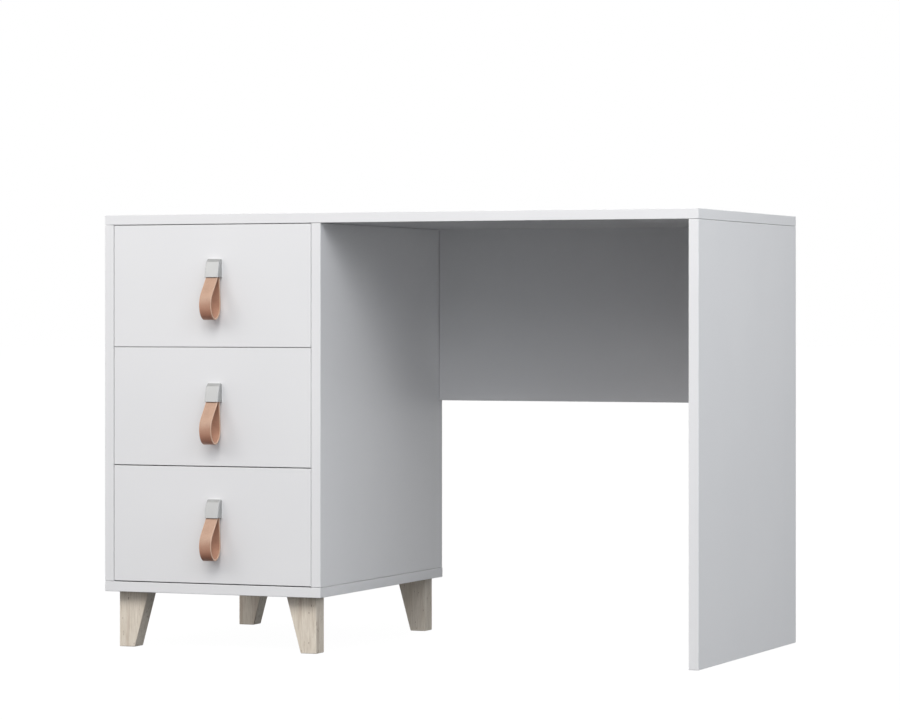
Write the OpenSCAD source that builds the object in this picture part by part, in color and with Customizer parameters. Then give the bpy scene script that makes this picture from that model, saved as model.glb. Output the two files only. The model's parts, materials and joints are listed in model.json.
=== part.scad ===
// Writing desk with a cabinet of three inset drawers at the left and an end panel at the right.
// Frame: X across the desk, Y from front to rear, Z up. The origin is on the floor, at the
// centre of the desk's footprint, the leather loops of the drawers included.

/* [Desk] */
// Width over the cabinet and the end panel
desk_w = 1100; // [1000:10:1400]
// Depth of the top and the end panel
desk_d = 545; // [545:5:600]
// Height of the work surface
desk_h = 760; // [740:5:790]
// Thickness of the melamine-faced boards
board_t = 18; // [18:1:19]
// Height of the modesty panel across the rear of the knee space
modesty_h = 316; // [250:1:400]

/* [Cabinet] */
// Width of the drawer cabinet
cab_w = 417.5; // [400:0.5:500]
// Thickness of the back panel
back_t = 3; // [2.5:0.5:5]
// How far the back panel stops short of the cabinet's outer faces
back_inset = 1.5; // [1:0.5:4]

/* [Legs] */
// Height of the legs
leg_h = 98; // [90:1:130]
// Width of a leg under the cabinet
leg_top_w = 57; // [50:1:70]
// Width of a leg at the floor
leg_foot_w = 30; // [24:1:40]
// Thickness of a leg from front to rear
leg_t = 32; // [28:1:40]
// Distance of the legs from the cabinet's sides
leg_side_inset = 18; // [10:1:40]
// Distance of the front legs from the front edge
leg_front_inset = 22; // [10:1:40]
// Distance of the rear legs from the rear edge
leg_rear_inset = 9; // [5:1:40]

/* [Drawers] */
// Height of the top drawer's front
top_front_h = 212.5; // [200:0.5:215]
// Height of the middle drawer's front
middle_front_h = 206; // [195:0.5:210]
// Gap above the top and the middle fronts
upper_gap = 1; // [0.8:0.1:3]
// Gap above and below the bottom front
lower_gap = 1.6; // [0.8:0.1:3]
// Gap between a front and the cabinet's left side
left_gap = 1; // [0.5:0.1:3]
// Gap between a front and the cabinet's right side
right_gap = 0.5; // [0.5:0.1:3]
// Length of a drawer box behind its front
box_l = 500; // [500:5:505]
// Height of a drawer box
box_h = 150; // [120:5:160]
// Thickness of the box's boards
box_t = 16; // [15:1:18]
// Thickness of the drawer bottom
bottom_t = 3; // [2.5:0.5:4]

/* [Handles] */
// Distance of the handles from the middle of the fronts
handle_shift = 7.5; // [-60:0.5:60]
// Width of the metal clip
clip_w = 26; // [26:1:30]
// Height of the metal clip
clip_h = 32; // [30:1:36]
// Depth of the clip at its mouth
clip_reach = 17; // [16:0.5:20]
// Thickness of the clip's walls
clip_wall = 1; // [0.8:0.1:1.2]
// Width of the leather strap
strap_w = 22.5; // [16:0.5:23.5]
// Thickness of the leather
strap_t = 3; // [2:0.5:3]
// Half the depth of the loop, from the drawer's front outwards
loop_r = 20.25; // [18:0.25:24]
// Height of the loop's widest place above its lowest point
loop_rise = 27; // [20:0.5:30]
// Height from the clip's top edge to the lowest point of the loop
loop_drop = 107; // [100:0.5:125]

/* [Hidden] */
$fn = 48;
eps = 0.5;

// Colours
white = "#f3f3f4";
hdf_white = "#e8e8e6";
pale_oak = "#cfc4b2";
satin_metal = "#c3c6c6";
leather = "#c9a184";
zinc = "#b9bcc0";
zamak = "#9a9da2";
beech = "#d8b98a";

// Case
inner_x0 = board_t;
inner_x1 = cab_w - board_t;
top_z = desk_h - board_t;
floor_z = leg_h + board_t;
side_depth = desk_d - back_t;
modesty_y = desk_d - board_t;
modesty_z = top_z - modesty_h;

// Drawer boxes on side-mounted ball slides
drawers = [1, 2, 3];
slide_t = 12.7;
slide_h = 35;
slide_l = 500;
slide_y = board_t + 2;
slide_rise = 60;
box_rise = 20;
box_x0 = inner_x0 + slide_t;
box_x1 = inner_x1 - slide_t;
groove = 8;
groove_play = 0.2;
bottom_rise = 10;
clip_drop = [59.5, 62, 56];

// Slide profile: steel strip, ball race and the cage that holds the balls
steel = 1.2;
channel_lip_x = 9.3;
channel_lip_z = 13;
member_x = 3;
member_h = 22;
member_lip_z = 12.6;
ball_r = 2.2;
ball_x = 6.9;
ball_z = 13.65;
balls_per_row = 5;
ball_pitch = 28;
cage_l = 130;
cage_t = 0.8;
cage_x0 = 1.7;
cage_x1 = 8.9;
cage_y = slide_y + (slide_l - cage_l) / 2;

// Fasteners: a pair is the radius and the length of one stretch
play = 0.1;
bore_play = 0.5;
cam_edge = 34;
cam_body = [7.4, 12.5];
cam_slot = [3.7, 4];
driver_t = 1.3;
driver_span = 0.6;
driver_depth = 0.75;
pan_top = 0.7;
cam_cap_disc = [8.5, 0.8];
cam_cap_peg = 1.8;
bolt_bore_r = 3.6;
bolt_head = [3.3, 4];
bolt_shaft_r = 1.9;
bolt_collar = [3.5, 2];
bolt_thread = [2.8, 10.5];
dowel = [3.9, 30];
confirmat_head = [4.8, 2.5];
confirmat_shank = [3.4, 11.5];
confirmat_thread = [2.4, 34];
wood_screw_head = [4.4, 3];
wood_screw_thread = [2.2, 47];
slide_screw_head_r = 3;
slide_screw_thread = [1.6, 11];
nail_head = [1.6, 0.5];
nail_shank = [0.8, 21.5];

// Places of the joints, counted from the ends of the boards they are in
joint_inset = 60;
dowel_inset = 110;
modesty_cam_inset = [50, 90];
nail_inset = 30;
nail_rows = 5;
leg_screw_at = [15, 37];
channel_screw_at = [37, 200, 420];
member_screw_at = [60, 460];
box_joint_inset = [35, 28];

// Handle
strap_gap = 0.5;
handle_reach = 2 * loop_r + strap_gap;
handle_x = (inner_x0 + inner_x1) / 2 + handle_shift;
clip_shoulder = 8.4;
clip_round = 6;
mouth_play = 0.3;
mouth_front = [-11.5, -clip_h - mouth_play];
mouth_rear = [-6.5, -clip_h - mouth_play];
tail_front = [-7.2, -9];
tail_rear = [-3.6, -9];
strap_spare = 5;
loop_bends = 24;
shoulder_bends = 8;
handle_screw_z = [-13, -25];
handle_screw_r = 1.8;
handle_screw_reach = 8;
handle_screw_head = [4, 2.4];
handle_bore_r = 2.2;
boss_r = 3;
front_y = -(desk_d - handle_reach) / 2;

DRAWER_PIECES = [
    "front", "left_side", "right_side", "back", "bottom", "slide_members", "ball_cages",
    "cam_fittings", "screws", "handle_clip", "handle_screws", "strap_ends", "strap_loop"
];

// ---------------------------------------------------------------- general helpers

// Moves desk coordinates, counted from the left front corner, into the part's frame.
module in_frame() {
    translate([-desk_w / 2, front_y, 0]) children();
}

// A board or block between two opposite corners.
module block(low, high) {
    translate(low) cube(high - low);
}

// Extrudes an outline drawn in Y and Z along X.
module along_x(x, w) {
    translate([x, 0, 0]) rotate([90, 0, 90]) linear_extrude(w) children();
}

// Extrudes an outline drawn in X and Z along Y.
module along_y(y, l) {
    translate([0, y + l, 0]) rotate([90, 0, 0]) linear_extrude(l) children();
}

// A rod that starts at z and is l long.
module rod(r, z, l) {
    translate([0, 0, z]) cylinder(r = r, h = l);
}

// Puts a fitting on a face: tilt turns its axis, spin turns it about that axis.
module at_face(place) {
    translate(place[0]) rotate(place[1]) rotate([0, 0, place[2]]) children();
}

// ---------------------------------------------------------------- flat strips of material

function unit(v) = v / norm(v);

function heading(p, i) = unit(p[min(i + 1, len(p) - 1)] - p[max(i - 1, 0)]);

function beside(p, i, d) = p[i] + d * [-heading(p, i)[1], heading(p, i)[0]];

// Outline of a strip of thickness t along the centre line p.
function strip(p, t) = concat(
    [for (i = [0:1:len(p) - 1]) beside(p, i, t / 2)],
    [for (i = [len(p) - 1:-1:0]) beside(p, i, -t / 2)]
);

function polar(c, r, a) = c + r * [cos(a), sin(a)];

function arc(c, r, a0, a1, n) = [for (k = [0:1:n]) polar(c, r, a0 + (a1 - a0) * k / n)];

// Angle at which a line from p touches a circle, on the side given by turn.
function touch_angle(p, c, r, turn) =
    atan2(p[1] - c[1], p[0] - c[0]) + turn * acos(r / norm(p - c));

// ---------------------------------------------------------------- places of the joints

toward_left = [0, -90, 0];
toward_right = [0, 90, 0];
toward_rear = [-90, 0, 0];
joint_y = [joint_inset, side_depth - joint_inset];
dowel_y = [dowel_inset, side_depth - dowel_inset];
cam_z = top_z - cam_edge;
modesty_cam_z = [modesty_z + modesty_cam_inset[0], top_z - modesty_cam_inset[1]];

// Cam fittings of the case: [point on the face, tilt, spin].
top_cams = [
    for (y = joint_y) [[inner_x0, y, cam_z], toward_right, 180],
    for (y = joint_y) [[inner_x1, y, cam_z], toward_left, 0],
    for (y = joint_y) [[desk_w - board_t, y, cam_z], toward_left, 0]
];
modesty_cams = [
    for (z = modesty_cam_z) [[cab_w + cam_edge, desk_d, z], toward_rear, 180],
    for (z = modesty_cam_z) [[desk_w - board_t - cam_edge, desk_d, z], toward_rear, 0]
];
case_cams = concat(top_cams, modesty_cams);

panel_mid_x = [board_t / 2, cab_w - board_t / 2, desk_w - board_t / 2];
case_dowels = concat(
    [for (x = panel_mid_x, y = dowel_y) [x, y, top_z]],
    [for (x = [panel_mid_x[0], panel_mid_x[1]], y = dowel_y) [x, y, floor_z]]
);
bottom_screw_points = [
    for (x = [panel_mid_x[0], panel_mid_x[1]], y = joint_y) [x, y, leg_h]
];
nail_pitch = (top_z - floor_z - 2 * nail_inset) / (nail_rows - 1);
nail_points = [
    for (x = [panel_mid_x[0], panel_mid_x[1]], k = [0:nail_rows - 1])
        [x, desk_d, floor_z + nail_inset + k * nail_pitch]
];

function leg_x(right) = right ? cab_w - leg_side_inset : leg_side_inset;

function leg_y(rear) = rear ? desk_d - leg_rear_inset - leg_t : leg_front_inset;

leg_screw_points = [
    for (right = [false, true], rear = [false, true], d = leg_screw_at)
        [leg_x(right) + (right ? -d : d), leg_y(rear) + leg_t / 2, floor_z]
];

// ---------------------------------------------------------------- drawer places

function front_height(i) =
    i == 1 ? top_front_h
    : i == 2 ? middle_front_h
    : top_z - floor_z - 2 * upper_gap - 2 * lower_gap - top_front_h - middle_front_h;

function front_z(i) =
    (i == 1 ? top_z : front_z(i - 1)) - (i == 3 ? lower_gap : upper_gap) - front_height(i);

function box_z(i) = front_z(i) + box_rise;

function slide_z(i) = box_z(i) + slide_rise;

function clip_z(i) = front_z(i) + front_height(i) - clip_drop[i - 1];

box_end_y = board_t + box_l;
box_screw_y = box_end_y - box_t / 2;

function box_joint_z(i) = [box_z(i) + box_joint_inset[0], box_z(i) + box_h - box_joint_inset[1]];

function box_cams(i) = [
    for (z = box_joint_z(i))
        each [
            [[box_x0 + box_t, board_t + cam_edge, z], toward_right, -90],
            [[box_x1 - box_t, board_t + cam_edge, z], toward_left, -90]
        ]
];

// Screws through the box sides into the ends of the box back: [head, tilt].
function box_screws(i) = [
    for (z = box_joint_z(i))
        each [
            [[box_x0, box_screw_y, z], toward_right],
            [[box_x1, box_screw_y, z], toward_left]
        ]
];

// ---------------------------------------------------------------- fasteners

// Cam fitting: the face is at z = 0, the bolt runs along +X at the given depth.
module along_bolt(deep) {
    translate([0, 0, -deep]) rotate([0, 90, 0]) children();
}

module cam_housing(deep) {
    rod(cam_body[0] + play, -cam_body[1], cam_body[1] + eps);
    along_bolt(deep) {
        rod(bolt_bore_r, 0, cam_edge);
        rod(bolt_thread[0] + play, cam_edge - eps, bolt_thread[1] + eps + bore_play);
    }
}

module cam_lock(deep) {
    difference() {
        rod(cam_body[0], -cam_body[1] + play, cam_body[1] - 2 * play);
        along_bolt(deep) rod(cam_slot[0], -cam_slot[1], cam_slot[1] + 2 * cam_body[0]);
        cross_recess([cam_body[0], bolt_head[1]]);
    }
}

module cam_bolt(deep) {
    along_bolt(deep) {
        rod(bolt_head[0], -bolt_head[1] / 2, bolt_head[1]);
        rod(bolt_shaft_r, bolt_head[1] / 2, cam_edge - bolt_head[1] / 2 - bolt_collar[1]);
        rod(bolt_collar[0], cam_edge - bolt_collar[1], bolt_collar[1]);
        rod(bolt_thread[0], cam_edge, bolt_thread[1]);
    }
}

// Cover cap: its peg sits in the cross recess of the cam lock.
module cam_cap() {
    rod(cam_cap_disc[0], 0, cam_cap_disc[1]);
    cross(driver_span * cam_body[0] - play, driver_t - 2 * play, -cam_cap_peg, cam_cap_disc[1] / 2);
}

// A stretch of a screw's bore or body that ends at z; room widens and lengthens a bore.
module stretch(part, z, room) {
    rod(part[0] + room, z - part[1] - room, part[1] + room);
}

// A screw's bore also opens at its face.
module mouth_of_bore(part, room) {
    if (room > 0) rod(part[0] + room, -part[1], part[1] + eps);
}

// Two crossed bars between two heights.
module cross(reach, thick, low_z, high_z) {
    for (turn = [0, 90])
        rotate([0, 0, turn]) block([-reach, -thick / 2, low_z], [reach, thick / 2, high_z]);
}

// Cross-shaped recess for a screwdriver, sunk into a head whose top is at z = 0.
module cross_recess(head) {
    cross(driver_span * head[0], driver_t, -driver_depth * head[1], eps);
}

// A screw's body has the recess; its bore, which has room round it, doesn't.
module driven(head, room) {
    difference() {
        children();
        if (room == 0) cross_recess(head);
    }
}

// Housing screw: its head is flush with z = 0 and it runs down -Z.
module confirmat(room) {
    shank_z = -confirmat_head[1] - confirmat_shank[1];
    mouth_of_bore(confirmat_head, room);
    driven(confirmat_head, room) {
        rod(confirmat_head[0] + room, -confirmat_head[1], confirmat_head[1]);
        rod(confirmat_shank[0] + room, shank_z, confirmat_shank[1]);
        stretch(confirmat_thread, shank_z, room);
    }
}

module countersunk_screw(room) {
    driven(wood_screw_head, room) {
        translate([0, 0, -wood_screw_head[1]])
            cylinder(
                r1 = wood_screw_thread[0] + room,
                r2 = wood_screw_head[0] + room,
                h = wood_screw_head[1]
            );
        stretch(wood_screw_thread, -wood_screw_head[1], room);
    }
}

// Short screw of a slide: the head is flush with z = 0, inside the steel strip.
module slide_screw(room) {
    head = [slide_screw_head_r, steel];
    mouth_of_bore(head, room);
    driven(head, room) {
        rod(head[0] + room, -head[1], head[1]);
        stretch(slide_screw_thread, -head[1], room);
    }
}

// Head of a handle screw: it stands on z = 0.
module pan_head(head) {
    edge = head[1] / 2;
    difference() {
        union() {
            rod(head[0], 0, edge);
            translate([0, 0, edge]) cylinder(r1 = head[0], r2 = pan_top * head[0], h = edge);
        }
        translate([0, 0, head[1]]) cross_recess(head);
    }
}

module nail(room) {
    mouth_of_bore(nail_head, room);
    rod(nail_head[0] + room, -nail_head[1], nail_head[1]);
    stretch(nail_shank, -nail_head[1], room);
}

// Every hole that the joints of the case need.
module case_holes() {
    for (c = case_cams) at_face(c) cam_housing(board_t / 2);
    for (p = case_dowels)
        translate(p) rod(dowel[0] + play, -dowel[1] / 2 - bore_play, dowel[1] + 2 * bore_play);
    for (p = bottom_screw_points) translate(p) rotate([180, 0, 0]) confirmat(play);
    for (p = leg_screw_points) translate(p) countersunk_screw(play);
    for (p = nail_points) translate(p) rotate([-90, 0, 0]) nail(play);
    for (i = drawers, s = [0, 1]) slide_side(i, s) channel_screws(play);
}

// Every hole that the joints of drawer i need.
module drawer_holes(i) {
    for (c = box_cams(i)) at_face(c) cam_housing(box_t / 2);
    for (s = box_screws(i)) translate(s[0]) rotate(s[1]) mirror([0, 0, 1]) confirmat(play);
    for (s = [0, 1]) slide_side(i, s) member_screws(play);
    translate([handle_x, 0, clip_z(i)])
        handle_screw_holes(handle_bore_r, -eps, board_t + 2 * eps);
    block(
        [box_x0 + box_t - groove, board_t - groove, box_z(i) + bottom_rise],
        [box_x1 - box_t + groove, box_end_y + eps, box_z(i) + bottom_rise + bottom_t + groove_play]
    );
}

// ---------------------------------------------------------------- case

module case_board(low, high) {
    color(white) in_frame() difference() {
        block(low, high);
        case_holes();
    }
}

module desk_top() {
    case_board([0, 0, top_z], [desk_w, desk_d, desk_h]);
}

module right_end_panel() {
    case_board([desk_w - board_t, 0, 0], [desk_w, desk_d, top_z]);
}

module modesty_panel() {
    case_board([cab_w, modesty_y, modesty_z], [desk_w - board_t, desk_d, top_z]);
}

module cabinet_left_side() {
    case_board([0, 0, floor_z], [board_t, side_depth, top_z]);
}

module cabinet_right_side() {
    case_board([cab_w - board_t, 0, floor_z], [cab_w, side_depth, top_z]);
}

module cabinet_bottom() {
    case_board([0, 0, leg_h], [cab_w, desk_d, floor_z]);
}

module cabinet_back() {
    color(hdf_white) in_frame() difference() {
        block([back_inset, side_depth, floor_z], [cab_w - back_inset, desk_d, top_z]);
        case_holes();
    }
}

// A leg: upright on the side of the cabinet's outer face, slanted on the inner side.
module leg(right, rear) {
    dir = right ? -1 : 1;
    outline = [
        [0, 0],
        [dir * leg_foot_w, 0],
        [dir * leg_top_w, leg_h],
        [0, leg_h]
    ];
    color(pale_oak) in_frame() difference() {
        translate([leg_x(right), 0, 0]) along_y(leg_y(rear), leg_t) polygon(outline);
        for (p = leg_screw_points) translate(p) countersunk_screw(play);
    }
}

module cam_locks() {
    color(zamak) in_frame() for (c = case_cams) at_face(c) cam_lock(board_t / 2);
}

module cam_bolts() {
    color(zinc) in_frame() for (c = case_cams) at_face(c) cam_bolt(board_t / 2);
}

module cam_caps() {
    color(white) in_frame() for (c = top_cams) at_face(c) cam_cap();
}

module wooden_dowels() {
    color(beech) in_frame() for (p = case_dowels)
        translate(p) rod(dowel[0], -dowel[1] / 2, dowel[1]);
}

module bottom_screws() {
    color(zinc) in_frame() for (p = bottom_screw_points)
        translate(p) rotate([180, 0, 0]) confirmat(0);
}

module leg_screws() {
    color(zinc) in_frame() for (p = leg_screw_points) translate(p) countersunk_screw(0);
}

module back_nails() {
    color(zinc) in_frame() for (p = nail_points) translate(p) rotate([-90, 0, 0]) nail(0);
}

// ---------------------------------------------------------------- ball slides

// Slide coordinates: X from the cabinet's side towards the drawer, Z about the slide's middle.
// s is 0 at the cabinet's left side and 1 at its right side.
module slide_side(i, s) {
    translate([s == 0 ? inner_x0 : inner_x1, 0, slide_z(i)]) mirror([s, 0, 0]) children();
}

module mirrored_z() {
    children();
    mirror([0, 0, 1]) children();
}

module channel_screws(room) {
    for (y = channel_screw_at)
        translate([steel, slide_y + y, 0]) rotate(toward_right) slide_screw(room);
}

module member_screws(room) {
    for (y = member_screw_at)
        translate([slide_t - steel, slide_y + y, 0]) rotate(toward_left) slide_screw(room);
}

module slide_channel() {
    flange_z = slide_h / 2 - steel;
    difference() {
        union() {
            block([0, slide_y, -slide_h / 2], [steel, slide_y + slide_l, slide_h / 2]);
            mirrored_z() {
                block(
                    [0, slide_y, flange_z],
                    [channel_lip_x + steel, slide_y + slide_l, slide_h / 2]
                );
                block(
                    [channel_lip_x, slide_y, channel_lip_z],
                    [channel_lip_x + steel, slide_y + slide_l, slide_h / 2]
                );
            }
        }
        channel_screws(play);
    }
}

module slide_member() {
    flange_z = member_h / 2 - steel;
    difference() {
        union() {
            block(
                [slide_t - steel, slide_y, -member_h / 2],
                [slide_t, slide_y + slide_l, member_h / 2]
            );
            mirrored_z() {
                block([member_x, slide_y, flange_z], [slide_t, slide_y + slide_l, member_h / 2]);
                block(
                    [member_x, slide_y, flange_z],
                    [member_x + steel, slide_y + slide_l, member_lip_z]
                );
            }
        }
        member_screws(play);
    }
}

module at_balls() {
    first = cage_y + (cage_l - (balls_per_row - 1) * ball_pitch) / 2;
    for (k = [0:balls_per_row - 1], z = [-ball_z, ball_z])
        translate([ball_x, first + k * ball_pitch, z]) children();
}

module ball_cage() {
    difference() {
        union() {
            block([cage_x0, cage_y, -ball_z], [cage_x0 + cage_t, cage_y + cage_l, ball_z]);
            mirrored_z()
                block(
                    [cage_x0, cage_y, ball_z - cage_t / 2],
                    [cage_x1, cage_y + cage_l, ball_z + cage_t / 2]
                );
        }
        at_balls() rod(ball_r + play, -cage_t, 2 * cage_t);
    }
    at_balls() sphere(r = ball_r);
}

module slide_channels() {
    color(zinc) in_frame() for (i = drawers, s = [0, 1]) slide_side(i, s) slide_channel();
}

module slide_channel_screws() {
    color(zinc) in_frame() for (i = drawers, s = [0, 1]) slide_side(i, s) channel_screws(0);
}

// ---------------------------------------------------------------- drawers

module drawer_board(i, low, high) {
    color(white) in_frame() difference() {
        block(low, high);
        drawer_holes(i);
    }
}

module drawer_front(i) {
    drawer_board(
        i,
        [inner_x0 + left_gap, 0, front_z(i)],
        [inner_x1 - right_gap, board_t, front_z(i) + front_height(i)]
    );
}

module drawer_left_side(i) {
    drawer_board(i, [box_x0, board_t, box_z(i)], [box_x0 + box_t, box_end_y, box_z(i) + box_h]);
}

module drawer_right_side(i) {
    drawer_board(i, [box_x1 - box_t, board_t, box_z(i)], [box_x1, box_end_y, box_z(i) + box_h]);
}

module drawer_back(i) {
    low_z = box_z(i) + bottom_rise + bottom_t + groove_play;
    drawer_board(
        i,
        [box_x0 + box_t, box_end_y - box_t, low_z],
        [box_x1 - box_t, box_end_y, box_z(i) + box_h]
    );
}

module drawer_bottom(i) {
    z = box_z(i) + bottom_rise + groove_play / 2;
    tongue = groove - 0.5;
    color(hdf_white) in_frame() block(
        [box_x0 + box_t - tongue, board_t - tongue, z],
        [box_x1 - box_t + tongue, box_end_y, z + bottom_t]
    );
}

module drawer_slide_members(i) {
    color(zinc) in_frame() for (s = [0, 1]) slide_side(i, s) slide_member();
}

module drawer_ball_cages(i) {
    color(zamak) in_frame() for (s = [0, 1]) slide_side(i, s) ball_cage();
}

module drawer_cam_fittings(i) {
    color(zamak) in_frame() for (c = box_cams(i)) at_face(c) {
        cam_lock(box_t / 2);
        cam_bolt(box_t / 2);
    }
}

module drawer_screws(i) {
    color(zinc) in_frame() {
        for (s = box_screws(i)) translate(s[0]) rotate(s[1]) mirror([0, 0, 1]) confirmat(0);
        for (s = [0, 1]) slide_side(i, s) member_screws(0);
    }
}

// ---------------------------------------------------------------- handles

// Handle coordinates: Y from the drawer's face outwards is negative, Z from the clip's top.
module at_handle(i) {
    in_frame() translate([handle_x, 0, clip_z(i)]) children();
}

// Side outline of the clip, moved inwards by inset: level top, round shoulder, slanted face.
function clip_outline(inset, foot, rear) =
    let (
        slope = unit([clip_shoulder - clip_reach, -clip_h]),
        inward = [-slope[1], slope[0]],
        tilt = atan((clip_reach - clip_shoulder) / clip_h),
        run = inset * (1 + inward[1]) / -slope[1],
        corner = [-clip_shoulder, 0] + inset * inward + run * slope,
        r = clip_round - inset,
        centre = corner + [r * tan((90 - tilt) / 2), -r],
        toe = corner + slope * (foot + corner[1]) / -slope[1]
    )
    concat([[rear, -inset]], arc(centre, r, 90, 180 - tilt, shoulder_bends), [toe, [rear, -foot]]);

module handle_screw_holes(r, y, l) {
    for (z = handle_screw_z) translate([0, y, z]) rotate([-90, 0, 0]) rod(r, 0, l);
}

module drawer_handle_clip(i) {
    color(satin_metal) at_handle(i) difference() {
        along_x(-clip_w / 2, clip_w) polygon(clip_outline(0, clip_h, 0));
        difference() {
            along_x(-clip_w / 2 + clip_wall, clip_w - 2 * clip_wall)
                polygon(clip_outline(clip_wall, clip_h + eps, eps));
            handle_screw_holes(boss_r, -clip_reach, clip_reach);
        }
        handle_screw_holes(
            handle_screw_r + play,
            -handle_screw_reach - bore_play,
            2 * handle_screw_reach
        );
    }
}

module drawer_handle_screws(i) {
    color(zinc) at_handle(i) {
        handle_screw_holes(handle_screw_r, -handle_screw_reach, board_t + handle_screw_reach);
        for (z = handle_screw_z)
            translate([0, board_t, z]) rotate([-90, 0, 0]) pan_head(handle_screw_head);
    }
}

// The strap's two ends, clamped inside the clip.
module drawer_strap_ends(i) {
    foot = [0, mouth_play];
    color(leather) at_handle(i) difference() {
        along_x(-strap_w / 2, strap_w) {
            polygon(strip([tail_front, mouth_front + foot], strap_t));
            polygon(strip([tail_rear, mouth_rear + foot], strap_t));
        }
        handle_screw_holes(boss_r + play, -clip_reach, clip_reach);
        block([-strap_w, -2 * clip_reach, -2 * clip_h], [strap_w, 0, -clip_h]);
    }
}

// The loop's centre line: an oval, and the straight runs that lead to it from the mouth.
loop_centre = [-strap_gap - loop_r, loop_rise - loop_drop];
loop_mid = [loop_r - strap_t / 2, loop_rise - strap_t / 2];

function oval(a) = loop_centre + [loop_mid[0] * cos(a), loop_mid[1] * sin(a)];

// Squeezed upright, the oval is a circle.
function squeezed(p) = [p[0], p[1] * loop_mid[0] / loop_mid[1]];

function oval_touch(p, turn) = touch_angle(squeezed(p), squeezed(loop_centre), loop_mid[0], turn);

front_touch = oval_touch(mouth_front, 1);
rear_touch = 360 + oval_touch(mouth_rear, -1);
loop_line = concat(
    [mouth_front + strap_spare * unit(mouth_front - oval(front_touch))],
    [
        for (k = [0:loop_bends])
            oval(front_touch + (rear_touch - front_touch) * k / loop_bends)
    ],
    [mouth_rear + strap_spare * unit(mouth_rear - oval(rear_touch))]
);

// The hanging loop, from the clip's mouth down.
module drawer_strap_loop(i) {
    color(leather) at_handle(i) difference() {
        along_x(-strap_w / 2, strap_w) polygon(strip(loop_line, strap_t));
        block(
            [-strap_w, -2 * clip_reach, mouth_front[1]],
            [strap_w, clip_reach, mouth_front[1] + clip_h]
        );
    }
}

// ---------------------------------------------------------------- the desk

module drawer_piece(piece, i) {
    if (piece == "front") drawer_front(i);
    if (piece == "left_side") drawer_left_side(i);
    if (piece == "right_side") drawer_right_side(i);
    if (piece == "back") drawer_back(i);
    if (piece == "bottom") drawer_bottom(i);
    if (piece == "slide_members") drawer_slide_members(i);
    if (piece == "ball_cages") drawer_ball_cages(i);
    if (piece == "cam_fittings") drawer_cam_fittings(i);
    if (piece == "screws") drawer_screws(i);
    if (piece == "handle_clip") drawer_handle_clip(i);
    if (piece == "handle_screws") drawer_handle_screws(i);
    if (piece == "strap_ends") drawer_strap_ends(i);
    if (piece == "strap_loop") drawer_strap_loop(i);
}

desk_top();
right_end_panel();
modesty_panel();
cabinet_left_side();
cabinet_right_side();
cabinet_bottom();
cabinet_back();
leg(false, false);  // leg_front_left
leg(true, false);  // leg_front_right
leg(false, true);  // leg_rear_left
leg(true, true);  // leg_rear_right
slide_channels();
slide_channel_screws();
cam_locks();
cam_bolts();
cam_caps();
wooden_dowels();
bottom_screws();
leg_screws();
back_nails();
for (i = drawers, piece = DRAWER_PIECES)
    drawer_piece(piece, i);
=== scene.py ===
"""Looks of the writing desk with drawers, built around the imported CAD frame. Metres, +Z up."""

import json
import math

import bmesh
import bpy
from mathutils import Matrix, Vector


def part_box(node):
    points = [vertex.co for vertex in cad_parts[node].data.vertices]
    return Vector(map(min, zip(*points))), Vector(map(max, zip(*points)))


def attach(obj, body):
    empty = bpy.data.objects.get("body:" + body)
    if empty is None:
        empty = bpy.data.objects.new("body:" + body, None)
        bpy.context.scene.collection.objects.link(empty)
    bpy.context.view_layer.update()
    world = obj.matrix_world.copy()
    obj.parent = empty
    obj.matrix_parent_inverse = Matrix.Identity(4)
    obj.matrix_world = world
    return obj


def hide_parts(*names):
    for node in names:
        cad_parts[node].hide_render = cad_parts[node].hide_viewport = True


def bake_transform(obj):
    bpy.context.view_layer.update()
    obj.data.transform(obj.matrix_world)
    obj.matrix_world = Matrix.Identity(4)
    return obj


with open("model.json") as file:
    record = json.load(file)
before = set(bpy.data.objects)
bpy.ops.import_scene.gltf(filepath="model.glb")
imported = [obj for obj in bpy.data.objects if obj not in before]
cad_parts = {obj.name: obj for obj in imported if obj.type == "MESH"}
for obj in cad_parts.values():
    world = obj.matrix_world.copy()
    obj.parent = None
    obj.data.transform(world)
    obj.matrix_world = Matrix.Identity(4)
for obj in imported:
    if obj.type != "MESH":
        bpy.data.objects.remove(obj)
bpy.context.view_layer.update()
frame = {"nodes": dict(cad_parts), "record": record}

MM = 0.001
DRAWERS = (1, 2, 3)


# ------------------------------------------------------------------ objects and node trees


def link(obj):
    """Puts an object in the scene."""
    bpy.context.scene.collection.objects.link(obj)
    return obj


def new_object(name, build):
    """A mesh object whose bmesh is filled by build(bm)."""
    bm = bmesh.new()
    build(bm)
    bmesh.ops.recalc_face_normals(bm, faces=bm.faces)
    mesh = bpy.data.meshes.new(name)
    bm.to_mesh(mesh)
    bm.free()
    return link(bpy.data.objects.new(name, mesh))


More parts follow.
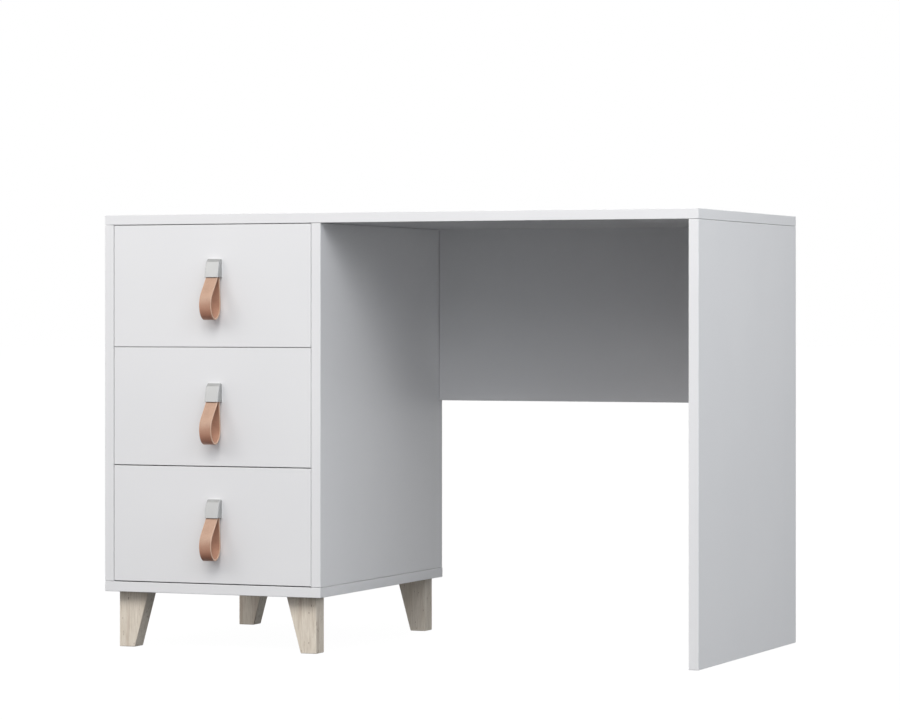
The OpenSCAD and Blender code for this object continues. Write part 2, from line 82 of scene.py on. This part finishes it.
class Nodes:
    """Short calls for building one node tree."""

    def __init__(self, tree):
        self.tree = tree
        tree.nodes.clear()

    def add(self, kind, inputs=(), **settings):
        """A node with its settings, and with each input set to a value or linked to a socket."""
        node = self.tree.nodes.new(kind)
        for key, value in settings.items():
            setattr(node, key, value)
        for key, value in dict(inputs).items():
            if isinstance(value, bpy.types.NodeSocket):
                self.tree.links.new(value, node.inputs[key])
            else:
                node.inputs[key].default_value = value
        return node

    def math(self, operation, a, b=0.0):
        return self.add("ShaderNodeMath", {0: a, 1: b}, operation=operation).outputs[0]

    def vector(self, operation, inputs, socket="Vector"):
        return self.add("ShaderNodeVectorMath", inputs, operation=operation).outputs[socket]

    def coords(self, space="Object", stretch=(1, 1, 1)):
        """Texture coordinates in metres; a stretch below 1 draws a texture out along that axis."""
        where = self.add("ShaderNodeTexCoord").outputs[space]
        return self.add("ShaderNodeMapping", {"Vector": where, "Scale": stretch}).outputs[0]

    def noise(self, where, size, detail=4.0, roughness=0.5, distortion=0.0):
        """Noise from 0 to 1 whose patches are about size metres across."""
        return self.add(
            "ShaderNodeTexNoise",
            {
                "Vector": where,
                "Scale": 1 / size,
                "Detail": detail,
                "Roughness": roughness,
                "Distortion": distortion,
            },
        ).outputs["Fac"]

    def cells(self, where, size, feature="F1"):
        """Distance to the cells of a Voronoi pattern whose cells are about size metres across."""
        return self.add(
            "ShaderNodeTexVoronoi", {"Vector": where, "Scale": 1 / size}, feature=feature
        ).outputs["Distance"]

    def ramp(self, value, *stops):
        """Colour or grey along a value: stops are (place, colour or grey)."""
        node = self.add("ShaderNodeValToRGB", {"Fac": value})
        marks = node.color_ramp.elements
        while len(marks) < len(stops):
            marks.new(0.5)
        for mark, (place, colour) in zip(marks, stops):
            mark.position = place
            grey = isinstance(colour, (int, float))
            mark.color = (colour, colour, colour, 1) if grey else (*colour, 1)
        return node.outputs["Color"]

    def span(self, value, low, high, at_low=0.0, at_high=1.0):
        """Maps low..high to at_low..at_high, held at the ends."""
        return self.add(
            "ShaderNodeMapRange",
            {"Value": value, "From Min": low, "From Max": high, "To Min": at_low, "To Max": at_high},
        ).outputs["Result"]

    def mix(self, factor, a, b):
        """Mixes two colours; a tuple is a colour of its own."""
        first, second = [(*c, 1) if isinstance(c, tuple) else c for c in (a, b)]
        inputs = {0: factor, 6: first, 7: second}
        return self.add("ShaderNodeMix", inputs, data_type="RGBA").outputs[2]

    def bump(self, height, depth):
        """Normal of a surface whose height from 0 to 1 is worth depth metres."""
        inputs = {"Height": height, "Distance": depth, "Strength": 1.0}
        return self.add("ShaderNodeBump", inputs).outputs["Normal"]


# ------------------------------------------------------------------ camera, stage and light

CAMERA_AT = Vector((2.4178, -5.8231, 0.5834))
CAMERA_HEADING = math.radians(22.52)
CAMERA_LENS = 142.8
CAMERA_SHIFT = -0.0496


def make_camera():
    """A level camera to the right of the desk, a little under the height of its top."""
    data = bpy.data.cameras.new("camera")
    data.lens = CAMERA_LENS
    data.sensor_width = 36.0
    data.shift_y = CAMERA_SHIFT
    camera = link(bpy.data.objects.new("camera", data))
    camera.location = CAMERA_AT
    camera.rotation_euler = (math.radians(90), 0, CAMERA_HEADING)
    bpy.context.scene.camera = camera
    bpy.context.scene.view_settings.view_transform = "Standard"


STAGE_R = 60.0
# The floor's own brightness, and how much of the studio's light it returns.
FLOOR_GLOW = 0.98
FLOOR_ALBEDO = 0.04


def make_stage():
    """A plain pale floor inside a plain white surround. Neither throws light on the desk."""
    def floor_shape(bm):
        bmesh.ops.create_circle(bm, cap_ends=True, segments=96, radius=STAGE_R)

    def dome_shape(bm):
        bmesh.ops.create_uvsphere(bm, u_segments=48, v_segments=24, radius=STAGE_R)

    for name, shape, glow, albedo in (
        ("floor", floor_shape, FLOOR_GLOW, FLOOR_ALBEDO),
        ("surround", dome_shape, 1.0, 0.0),
    ):
        piece = new_object(name, shape)
        piece.visible_diffuse = False
        piece.visible_glossy = False
        piece.visible_shadow = False
        made = bpy.data.materials.new(name)
        made.use_nodes = True
        n = Nodes(made.node_tree)
        light = n.add("ShaderNodeEmission", {"Color": (1, 1, 1, 1), "Strength": glow})
        matt = n.add("ShaderNodeBsdfDiffuse", {"Color": (albedo, albedo, albedo, 1)})
        both = n.add("ShaderNodeAddShader", {0: light.outputs[0], 1: matt.outputs[0]})
        n.add("ShaderNodeOutputMaterial", {"Surface": both.outputs[0]})
        piece.data.materials.append(made)


# Glow of the studio all round: heading (0 is in front of the desk, 90 at its right) and height
# in degrees, how tight the glow is, and its colour.
STUDIO_GLOW = {
    "left_rear": (-135, 5, 6, (0.12, 0.12, 0.12)),
    "left": (-90, 5, 6, (1.93, 1.94, 1.94)),
    "front_left": (-45, 5, 6, (0.13, 0.12, 0.14)),
    "front_left_above": (-45, 40, 6, (0.69, 0.69, 0.68)),
    "front_right": (45, 5, 6, (0.57, 0.59, 0.63)),
    "front_right_above": (45, 40, 6, (0.46, 0.47, 0.48)),
    "behind": (180, 5, 6, (1.05, 1.07, 1.11)),
    "behind_above": (180, 40, 6, (1.36, 1.36, 1.34)),
    "front_high": (0, 55, 40, (1.31, 1.25, 1.18)),
    "front_above": (10, 25, 40, (1.14, 1.14, 1.21)),
}
# Soft boxes: place, the point each faces, width and height in metres, watts and colour.
SOFT_BOXES = {
    "near_left": ((-1.8, -1.9, 1.8), (-0.3, -0.25, 0.5), (1.2, 1.2), 13.7, (1.00, 0.98, 0.97)),
    "near_right": ((1.6, -1.9, 1.8), (0.3, -0.25, 0.5), (1.2, 1.2), 9.5, (0.93, 0.95, 1.00)),
    "side": ((2.4, -0.6, 1.2), (0.55, 0.0, 0.4), (1.4, 1.0), 15.4, (0.95, 0.97, 1.00)),
    "key": ((0.3, -3.2, 3.2), (0.0, 0.0, 0.4), (2.0, 1.5), 56.5, (1.00, 0.99, 0.98)),
}


def toward(heading, height):
    """Unit vector toward a heading and a height in degrees."""
    a, h = math.radians(heading), math.radians(height)
    return Vector((math.sin(a) * math.cos(h), -math.cos(a) * math.cos(h), math.sin(h)))


def make_glow():
    """A studio whose walls glow softly, each glow a smooth lobe about its direction."""
    world = bpy.data.worlds.new("studio")
    bpy.context.scene.world = world
    world.use_nodes = True
    n = Nodes(world.node_tree)
    looking = n.add("ShaderNodeTexCoord").outputs["Generated"]
    total = None
    for heading, height, tightness, colour in STUDIO_GLOW.values():
        centre = toward(heading, height)
        facing = n.vector("DOT_PRODUCT", {0: looking, 1: centre}, "Value")
        lobe = n.math("POWER", n.math("MAXIMUM", facing, 0.0), tightness)
        glow = n.vector("SCALE", {0: colour, "Scale": lobe})
        total = glow if total is None else n.vector("ADD", {0: total, 1: glow})
    sky = n.add("ShaderNodeBackground", {"Color": total, "Strength": 1.0})
    n.add("ShaderNodeOutputWorld", {"Surface": sky.outputs[0]})


def make_soft_boxes():
    """The studio's soft boxes, which the camera doesn't see."""
    for name, (place, aim, size, power, colour) in SOFT_BOXES.items():
        data = bpy.data.lights.new(name, "AREA")
        data.shape = "RECTANGLE"
        data.size, data.size_y = size
        data.energy = power
        data.color = colour
        lamp = link(bpy.data.objects.new(name, data))
        lamp.location = place
        lamp.rotation_euler = (Vector(aim) - Vector(place)).to_track_quat("-Z", "Y").to_euler()
        lamp.visible_camera = False


# ------------------------------------------------------------------ materials


def material(name, paint, roughness=0.5, metallic=0.0, **sockets):
    """A material with one Principled shader; paint(n) returns the sockets that vary over it."""
    made = bpy.data.materials.new(name)
    made.use_nodes = True
    n = Nodes(made.node_tree)
    varied = paint(n)
    fixed = {"Roughness": roughness, "Metallic": metallic}
    fixed.update({key.replace("_", " ").title(): value for key, value in sockets.items()})
    shader = n.add("ShaderNodeBsdfPrincipled", {**fixed, **varied})
    n.add("ShaderNodeOutputMaterial", {"Surface": shader.outputs[0]})
    return made


def melamine(n):
    """White melamine facing: almost even, with a fine satin tooth."""
    where = n.coords()
    cloud = n.noise(where, 0.22, detail=2)
    tooth = n.noise(where, 0.9 * MM, detail=2)
    return {
        "Base Color": n.ramp(cloud, (0.35, (0.852, 0.853, 0.856)), (0.65, (0.868, 0.868, 0.869))),
        "Roughness": n.span(n.noise(where, 6 * MM), 0.3, 0.7, 0.42, 0.52),
        "Normal": n.bump(tooth, 0.012 * MM),
    }


def hardboard(n):
    """White-painted fibreboard: a dull face with small pits and faint fibres."""
    where = n.coords()
    fibre = n.noise(n.coords(stretch=(1, 1, 0.35)), 2.2 * MM, detail=6, roughness=0.65)
    pits = n.span(n.cells(where, 3.5 * MM), 0.08, 0.2)
    return {
        "Base Color": n.ramp(fibre, (0.3, (0.775, 0.77, 0.755)), (0.7, (0.822, 0.82, 0.81))),
        "Roughness": n.span(fibre, 0.3, 0.7, 0.55, 0.7),
        "Normal": n.bump(n.math("MULTIPLY", fibre, pits), 0.05 * MM),
    }


def oak(n):
    """Pale, whitened oak with upright grain, open pores, brown flecks and darker streaks."""
    fibre = n.noise(n.coords(stretch=(1, 1, 0.05)), 2.0 * MM, detail=6, roughness=0.7)
    pores = n.noise(n.coords(stretch=(1, 1, 0.03)), 0.7 * MM, detail=2, roughness=0.6)
    growth = n.noise(n.coords(stretch=(1, 1, 0.12)), 14 * MM, detail=3, distortion=0.6)
    speck = n.span(n.noise(n.coords(stretch=(1, 1, 0.4)), 4.5 * MM, detail=3), 0.66, 0.73)
    streak = n.span(n.noise(n.coords(stretch=(1, 1, 0.08)), 20 * MM, detail=3), 0.55, 0.7)
    base = n.ramp(
        growth,
        (0.25, (0.72, 0.63, 0.51)),
        (0.5, (0.89, 0.81, 0.69)),
        (0.75, (0.80, 0.72, 0.60)),
    )
    lined = n.mix(n.span(fibre, 0.42, 0.66, 0.0, 0.65), base, (0.60, 0.51, 0.40))
    pored = n.mix(n.span(pores, 0.6, 0.76, 0.0, 0.6), lined, (0.48, 0.39, 0.30))
    flecked = n.mix(n.math("MULTIPLY", speck, 0.85), pored, (0.30, 0.20, 0.13))
    return {
        "Base Color": n.mix(n.math("MULTIPLY", streak, 0.5), flecked, (0.50, 0.37, 0.27)),
        "Roughness": n.span(fibre, 0.3, 0.7, 0.5, 0.68),
        "Normal": n.bump(n.math("SUBTRACT", fibre, n.span(pores, 0.6, 0.75)), 0.08 * MM),
    }


# Distance along a strap, from its front end, of the middle of the loop's round end, where the strap
# bends most.
ROUND_END_AT = 0.122


def leather_face(n):
    """Grain side of vegetable-tanned leather, redder round the loop's round end, with a painted
    highlight at its middle.
    """
    where = n.coords("UV")
    grain = n.cells(where, 0.9 * MM, "DISTANCE_TO_EDGE")
    hide = n.noise(where, 14 * MM, detail=5, roughness=0.6)
    wrinkle = n.noise(n.coords("UV", stretch=(0.4, 1, 1)), 2.5 * MM, detail=4, roughness=0.6)
    tan = n.ramp(
        hide, (0.3, (0.48, 0.30, 0.21)), (0.55, (0.54, 0.345, 0.245)), (0.8, (0.575, 0.38, 0.27))
    )
    creased = n.mix(n.span(grain, 0.0, 0.12, 0.3, 0.0), tan, (0.36, 0.18, 0.11))
    along = n.add("ShaderNodeSeparateXYZ", {0: where}).outputs["Y"]
    from_round_end = n.math("ABSOLUTE", n.math("SUBTRACT", along, ROUND_END_AT))
    reddened = n.mix(n.span(from_round_end, 0.02, 0.052, 0.85, 0.0), creased, (0.55, 0.225, 0.14))
    return {
        # Painted light: the strap is paler at the middle of its round end, standing in for light
        # thrown up from below onto the loop's underside.
        "Base Color": n.mix(n.span(from_round_end, 0.004, 0.02, 0.8, 0.0), reddened, (0.69, 0.38, 0.255)),
        "Roughness": n.span(hide, 0.3, 0.7, 0.42, 0.56),
        "Normal": n.bump(n.math("ADD", n.span(grain, 0.0, 0.2), wrinkle), 0.05 * MM),
    }


def leather_flesh(n):
    """Inner side of the leather: a short, dull, reddish nap, with painted shade near the clip, where
    the two runs close in.
    """
    where = n.coords("UV")
    nap = n.noise(where, 1.2 * MM, detail=6, roughness=0.7)
    hide = n.noise(where, 18 * MM, detail=3)
    tone = n.ramp(hide, (0.3, (0.45, 0.235, 0.155)), (0.7, (0.525, 0.29, 0.195)))
    napped = n.mix(n.span(nap, 0.35, 0.65, 0.3, 0.0), tone, (0.36, 0.17, 0.10))
    along = n.add("ShaderNodeSeparateXYZ", {0: where}).outputs["Y"]
    from_round_end = n.math("ABSOLUTE", n.math("SUBTRACT", along, ROUND_END_AT))
    # Painted shade: the flesh side darkens towards the clip, where the two runs close in and little
    # light reaches it.
    painted_clip_shade = n.span(from_round_end, 0.056, 0.102, 0.0, 0.85)
    return {
        "Base Color": n.mix(painted_clip_shade, napped, (0.27, 0.10, 0.06)),
        "Normal": n.bump(nap, 0.1 * MM),
    }


def leather_edge(n):
    """Cut edge of the leather, burnished and a little lighter, with faint layers."""
    layers = n.noise(n.coords("UV", stretch=(1, 0.05, 1)), 0.7 * MM, detail=3)
    return {
        "Base Color": n.ramp(layers, (0.3, (0.60, 0.38, 0.26)), (0.7, (0.74, 0.52, 0.38))),
        "Normal": n.bump(layers, 0.02 * MM),
    }


def satin_nickel(n):
    """Bead-blasted nickel plate."""
    where = n.coords()
    blast = n.noise(where, 0.35 * MM, detail=3, roughness=0.6)
    cloud = n.noise(where, 9 * MM, detail=3)
    return {
        "Base Color": n.ramp(cloud, (0.3, (0.49, 0.495, 0.49)), (0.7, (0.53, 0.535, 0.53))),
        "Roughness": n.span(cloud, 0.3, 0.7, 0.56, 0.64),
        "Normal": n.bump(blast, 0.01 * MM),
    }


def zinc_plate(n):
    """Bright zinc plate with its slight blue and yellow clouds."""
    where = n.coords()
    cloud = n.noise(where, 12 * MM, detail=4, distortion=0.8)
    rolled = n.noise(n.coords(stretch=(1, 0.03, 1)), 0.8 * MM, detail=3)
    return {
        "Base Color": n.ramp(
            cloud, (0.3, (0.60, 0.62, 0.66)), (0.55, (0.66, 0.67, 0.68)), (0.75, (0.67, 0.655, 0.61))
        ),
        "Roughness": n.span(rolled, 0.3, 0.7, 0.28, 0.42),
        "Normal": n.bump(rolled, 0.01 * MM),
    }


def zinc_casting(n):
    """Die-cast zinc: duller, with a slightly uneven skin."""
    where = n.coords()
    skin = n.noise(where, 1.5 * MM, detail=4, roughness=0.6)
    return {
        "Base Color": n.ramp(skin, (0.3, (0.42, 0.43, 0.45)), (0.7, (0.54, 0.55, 0.57))),
        "Roughness": n.span(skin, 0.3, 0.7, 0.4, 0.58),
        "Normal": n.bump(skin, 0.03 * MM),
    }


def moulded_plastic(n):
    """White moulded plastic with a fine spark-eroded texture."""
    where = n.coords()
    spark = n.noise(where, 0.5 * MM, detail=3)
    cloud = n.noise(where, 20 * MM)
    return {
        "Base Color": n.ramp(cloud, (0.3, (0.83, 0.83, 0.835)), (0.7, (0.86, 0.86, 0.86))),
        "Roughness": n.span(spark, 0.3, 0.7, 0.34, 0.46),
        "Normal": n.bump(spark, 0.012 * MM),
    }


def beech_dowel(n):
    """Steamed beech with short dark flecks along the dowel."""
    fibre = n.noise(n.coords(stretch=(1, 1, 0.08)), 1.2 * MM, detail=5, roughness=0.65)
    fleck = n.span(n.cells(n.coords(stretch=(1, 1, 0.25)), 1.6 * MM), 0.1, 0.3, 0.5, 0.0)
    base = n.ramp(fibre, (0.3, (0.62, 0.43, 0.27)), (0.7, (0.74, 0.56, 0.38)))
    return {"Base Color": n.mix(fleck, base, (0.42, 0.26, 0.15)), "Normal": n.bump(fibre, 0.05 * MM)}


MATERIALS = {
    "white_board": material("white_board", melamine),
    "white_hardboard": material("white_hardboard", hardboard),
    "pale_oak": material("pale_oak", oak),
    "leather": material("leather", leather_face, sheen_weight=0.1, sheen_roughness=0.4),
    "satin_metal": material("satin_metal", satin_nickel, metallic=1.0),
    "zinc_steel": material("zinc_steel", zinc_plate, metallic=1.0),
    "zinc_alloy": material("zinc_alloy", zinc_casting, metallic=1.0),
    "white_plastic": material("white_plastic", moulded_plastic),
    "beech": material("beech", beech_dowel, roughness=0.6),
}
LEATHER_FLESH = material("leather_flesh", leather_flesh, roughness=0.9, sheen_weight=0.25)
LEATHER_EDGE = material("leather_edge", leather_edge, roughness=0.45)


# ------------------------------------------------------------------ CAD nodes

# Softened edges: the radius for each material, and the corner above which an edge is softened.
EDGE_RADIUS = {"white_board": 0.9 * MM, "pale_oak": 1.2 * MM}
EDGE_STEPS = 3
SHARP_EDGE = math.radians(40)
# Corners closer than this are one corner, and faces within this angle are one flat face.
SAME_PLACE = 0.01 * MM
SAME_PLANE = math.radians(1)
# How far the boards' corners draw back, which opens the fine dark lines where boards meet. The
# drawers' fronts keep their size, because their gaps are open already.
JOINT_SHRINK = 0.42 * MM


def dress_cad():
    """Gives each CAD node its slot's material, and the boards and legs softened edges."""
    slots = {s["node"]: s["material_slot"] for s in frame["record"]["subparts"]}
    for name, obj in frame["nodes"].items():
        slot = slots[name]
        obj.data.materials.clear()
        obj.data.materials.append(MATERIALS[slot])
        if slot in EDGE_RADIUS:
            weld = obj.modifiers.new("weld", "WELD")
            weld.merge_threshold = SAME_PLACE
            flat = obj.modifiers.new("flat", "DECIMATE")
            flat.decimate_type = "DISSOLVE"
            flat.angle_limit = SAME_PLANE
            if slot == "white_board" and not name.endswith("_front"):
                joint = obj.modifiers.new("joint", "DISPLACE")
                joint.strength = -JOINT_SHRINK
                joint.mid_level = 0
            bevel = obj.modifiers.new("bevel", "BEVEL")
            bevel.width = EDGE_RADIUS[slot]
            bevel.segments = EDGE_STEPS
            bevel.limit_method = "ANGLE"
            bevel.angle_limit = SHARP_EDGE
            bevel.use_clamp_overlap = False
            bevel.harden_normals = True


# ------------------------------------------------------------------ handles

# Order of a strap's materials.
GRAIN, FLESH, EDGE = 0, 1, 2

# The strap's thickness, the radius of its corners, and the length of one step along it.
STRAP_T = 3.0 * MM
STRAP_ROUND = 0.9 * MM
STRAP_STEP = 2.0 * MM
# Places of the strap's two ends: (out from the drawer, down from the clip's top).
TAIL_FRONT = (7.2 * MM, 9.0 * MM)
TAIL_REAR = (3.6 * MM, 9.0 * MM)
# How far out from the drawer the strap's two runs leave the clip's mouth.
MOUTH_FRONT = 11.5 * MM
MOUTH_REAR = 6.5 * MM
# Height of the loop's widest place above its lowest point.
LOOP_RISE = 27.0 * MM
# Rounds of smoothing that bend the leather at the clip's mouth.
RELAX_ROUNDS = 14


def spaced(points, step):
    """The same line with points a step apart."""
    lengths = [0.0]
    for a, b in zip(points, points[1:]):
        lengths.append(lengths[-1] + (b - a).length)
    count = round(lengths[-1] / step)
    line, k = [], 0
    for i in range(count + 1):
        s = lengths[-1] * i / count
        while k < len(points) - 2 and lengths[k + 1] < s:
            k += 1
        line.append(points[k].lerp(points[k + 1], (s - lengths[k]) / (lengths[k + 1] - lengths[k])))
    return line


def relaxed(line, rounds):
    """Evens out the bends of a line, as the leather's stiffness does. The ends stay."""
    for _ in range(rounds):
        inner = [(a + 2 * b + c) / 4 for a, b, c in zip(line, line[1:], line[2:])]
        line = [line[0], *inner, line[-1]]
    return line


def strap_line(drawer):
    """Centre line of a strap as (y, z) points: front end, loop, rear end."""
    clip_low, clip_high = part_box(f"drawer_{drawer}_handle_clip")
    loop_low, loop_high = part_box(f"drawer_{drawer}_strap_loop")
    face, top, mouth = clip_high[1], clip_high[2], clip_low[2]
    reach = (loop_high[1] - loop_low[1]) / 2
    centre = Vector((face - (loop_low[1] + loop_high[1]) / 2, loop_low[2] + LOOP_RISE))
    wide, tall = reach - STRAP_T / 2, LOOP_RISE - STRAP_T / 2
    front, rear = Vector((MOUTH_FRONT, mouth)), Vector((MOUTH_REAR, mouth))

    def touch(point, turn):
        """Angle at which the run from point meets the oval, found where the oval is a circle."""
        away = Vector(((point[0] - centre[0]) / wide, (point[1] - centre[1]) / tall))
        return math.atan2(away[1], away[0]) + turn * math.acos(1 / away.length)

    start, end = touch(front, -1), touch(rear, 1) - math.tau
    bends = 32
    turn = [start + (end - start) * k / bends for k in range(bends + 1)]
    loop = [centre + Vector((wide * math.cos(a), tall * math.sin(a))) for a in turn]
    ends = [Vector((out, top - down)) for out, down in (TAIL_FRONT, TAIL_REAR)]
    line = relaxed(spaced([ends[0], front, *loop, rear, ends[1]], STRAP_STEP), RELAX_ROUNDS)
    return [Vector((face - out, up)) for out, up in line]


def strap_section(width):
    """Section of the strap: (across, through) points and the face that follows each one."""
    half, deep, r = width / 2, STRAP_T / 2, STRAP_ROUND
    points, faces = [], []
    corners = (
        (half - r, deep - r, 0),
        (-half + r, deep - r, 90),
        (-half + r, -deep + r, 180),
        (half - r, -deep + r, 270),
    )
    for (x, y, first), face in zip(corners, (FLESH, EDGE, GRAIN, EDGE)):
        for k in range(4):
            a = math.radians(first + 30 * k)
            points.append((x + r * math.cos(a), y + r * math.sin(a)))
            faces.append(EDGE)
        faces[-1] = face
    return points, faces


def make_strap(drawer):
    """One leather strap: both ends inside the clip, and the loop that hangs from it."""
    low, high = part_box(f"drawer_{drawer}_strap_loop")
    middle = (low[0] + high[0]) / 2
    line = strap_line(drawer)
    section, faces = strap_section(high[0] - low[0])
    around = [0.0]
    for a, b in zip(section, section[1:] + section[:1]):
        around.append(around[-1] + (Vector(b) - Vector(a)).length)

    def build(bm):
        uv = bm.loops.layers.uv.new("strap")
        rings = []
        for k, at in enumerate(line):
            run = (line[min(k + 1, len(line) - 1)] - line[max(k - 1, 0)]).normalized()
            inward = Vector((-run[1], run[0]))
            ring = []
            for across, through in section:
                y, z = at + inward * through
                ring.append(bm.verts.new((middle + across, y, z)))
            rings.append(ring)
        count = len(section)
        for k in range(len(line) - 1):
            for j in range(count):
                corners = ((k, j), (k, j + 1), (k + 1, j + 1), (k + 1, j))
                face = bm.faces.new([rings[a][b % count] for a, b in corners])
                face.material_index = faces[j]
                face.smooth = True
                for corner, (a, b) in zip(face.loops, corners):
                    corner[uv].uv = (around[b], a * STRAP_STEP)
        for ring in (rings[0], rings[-1]):
            bm.faces.new(ring).material_index = EDGE

    strap = new_object(f"strap_{drawer}", build)
    for made in (MATERIALS["leather"], LEATHER_FLESH, LEATHER_EDGE):
        strap.data.materials.append(made)
    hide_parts(f"drawer_{drawer}_strap_loop", f"drawer_{drawer}_strap_ends")
    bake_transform(strap)


# The clip: how far its face stands out at the level of its top edge and where its bevelled
# shoulder ends, the radii of its bends, the radius of its sides, its metal, and its rim's radius.
CLIP_TOP_REACH = 8.4 * MM
CLIP_SHOULDER = (4.4 * MM, 5.2 * MM)
CLIP_BEND = 1.6 * MM
CLIP_CORNER = 2.2 * MM
CLIP_METAL = 1.0 * MM
CLIP_RIM = 0.25 * MM


def crossing(p, along, q, across):
    """Where the line from p meets the line from q."""
    gap, turn = q - p, along.cross(across)
    return p + along * (gap.cross(across) / turn)


def bent(points, radius, steps=5):
    """The same line with each inner corner bent to a radius."""
    line = [points[0]]
    for a, b, c in zip(points, points[1:], points[2:]):
        back, on = (a - b).normalized(), (c - b).normalized()
        half = back.angle(on) / 2
        start = b + back * (radius / math.tan(half))
        centre = b + (back + on).normalized() * (radius / math.sin(half))
        spoke = start - centre
        sweep = math.pi - 2 * half
        turn = math.copysign(sweep, back.cross(on))
        for k in range(steps + 1):
            angle = -turn * k / steps
            line.append(centre + Vector((
                spoke[0] * math.cos(angle) - spoke[1] * math.sin(angle),
                spoke[0] * math.sin(angle) + spoke[1] * math.cos(angle),
            )))
    return [*line, points[-1]]


def clip_profile(reach, height, inset):
    """Side outline of a clip in (out, down): level top, bevelled shoulder, slanted face."""
    face = Vector((reach - CLIP_TOP_REACH, height)).normalized()
    shoulder_end = Vector((CLIP_TOP_REACH, 0)) + face * (CLIP_SHOULDER[1] / face[1])
    bevel = (shoulder_end - Vector((CLIP_SHOULDER[0], 0))).normalized()
    level = Vector((1, 0))

    def moved(point, along):
        return point + inset * Vector((-along[1], along[0]))

    top = moved(Vector((0, 0)), level)
    low = moved(shoulder_end, bevel)
    front = moved(shoulder_end, face)
    first = crossing(top, level, low, bevel)
    second = crossing(low, bevel, front, face)
    toe = crossing(front, face, Vector((0, height)), level)
    return bent([top, first, second, toe], CLIP_BEND)


def make_clip(drawer):
    """Pressed metal clip that holds the strap: rounded shoulder, rounded sides, open mouth."""
    low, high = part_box(f"drawer_{drawer}_handle_clip")
    face, top = high[1], high[2]
    reach, height = face - low[1], top - low[2]
    steps = 6
    turns = [math.radians(90 * k / steps) for k in range(steps + 1)]
    right = [
        (CLIP_CORNER * (1 - math.cos(a)), high[0] - CLIP_CORNER * (1 - math.sin(a)))
        for a in turns
    ]
    left = [(inset, low[0] + high[0] - x) for inset, x in reversed(right)]

    def build(bm):
        rows = []
        for inset, x in left + right:
            row = [bm.verts.new((x, face - out, top - down))
                   for out, down in clip_profile(reach, height, inset)]
            rows.append(row)
        for a, b in zip(rows, rows[1:]):
            for k in range(len(a) - 1):
                bm.faces.new((a[k], a[k + 1], b[k + 1], b[k])).smooth = True
        for row in (rows[0], rows[-1]):
            x = row[0].co.x
            foot = bm.verts.new((x, face, low[2]))
            bm.faces.new([*row, foot]).smooth = True

    clip = new_object(f"clip_{drawer}", build)
    clip.data.materials.append(MATERIALS["satin_metal"])
    wall = clip.modifiers.new("wall", "SOLIDIFY")
    wall.thickness = CLIP_METAL
    wall.offset = -1
    wall.use_even_offset = True
    rim = clip.modifiers.new("rim", "BEVEL")
    rim.width = CLIP_RIM
    rim.segments = 2
    rim.limit_method = "ANGLE"
    rim.angle_limit = math.radians(50)
    rim.harden_normals = True
    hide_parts(f"drawer_{drawer}_handle_clip")
    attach(clip, f"drawer_{drawer}")


make_camera()
make_stage()
make_glow()
make_soft_boxes()
dress_cad()
for number in DRAWERS:
    make_strap(number)
    make_clip(number)
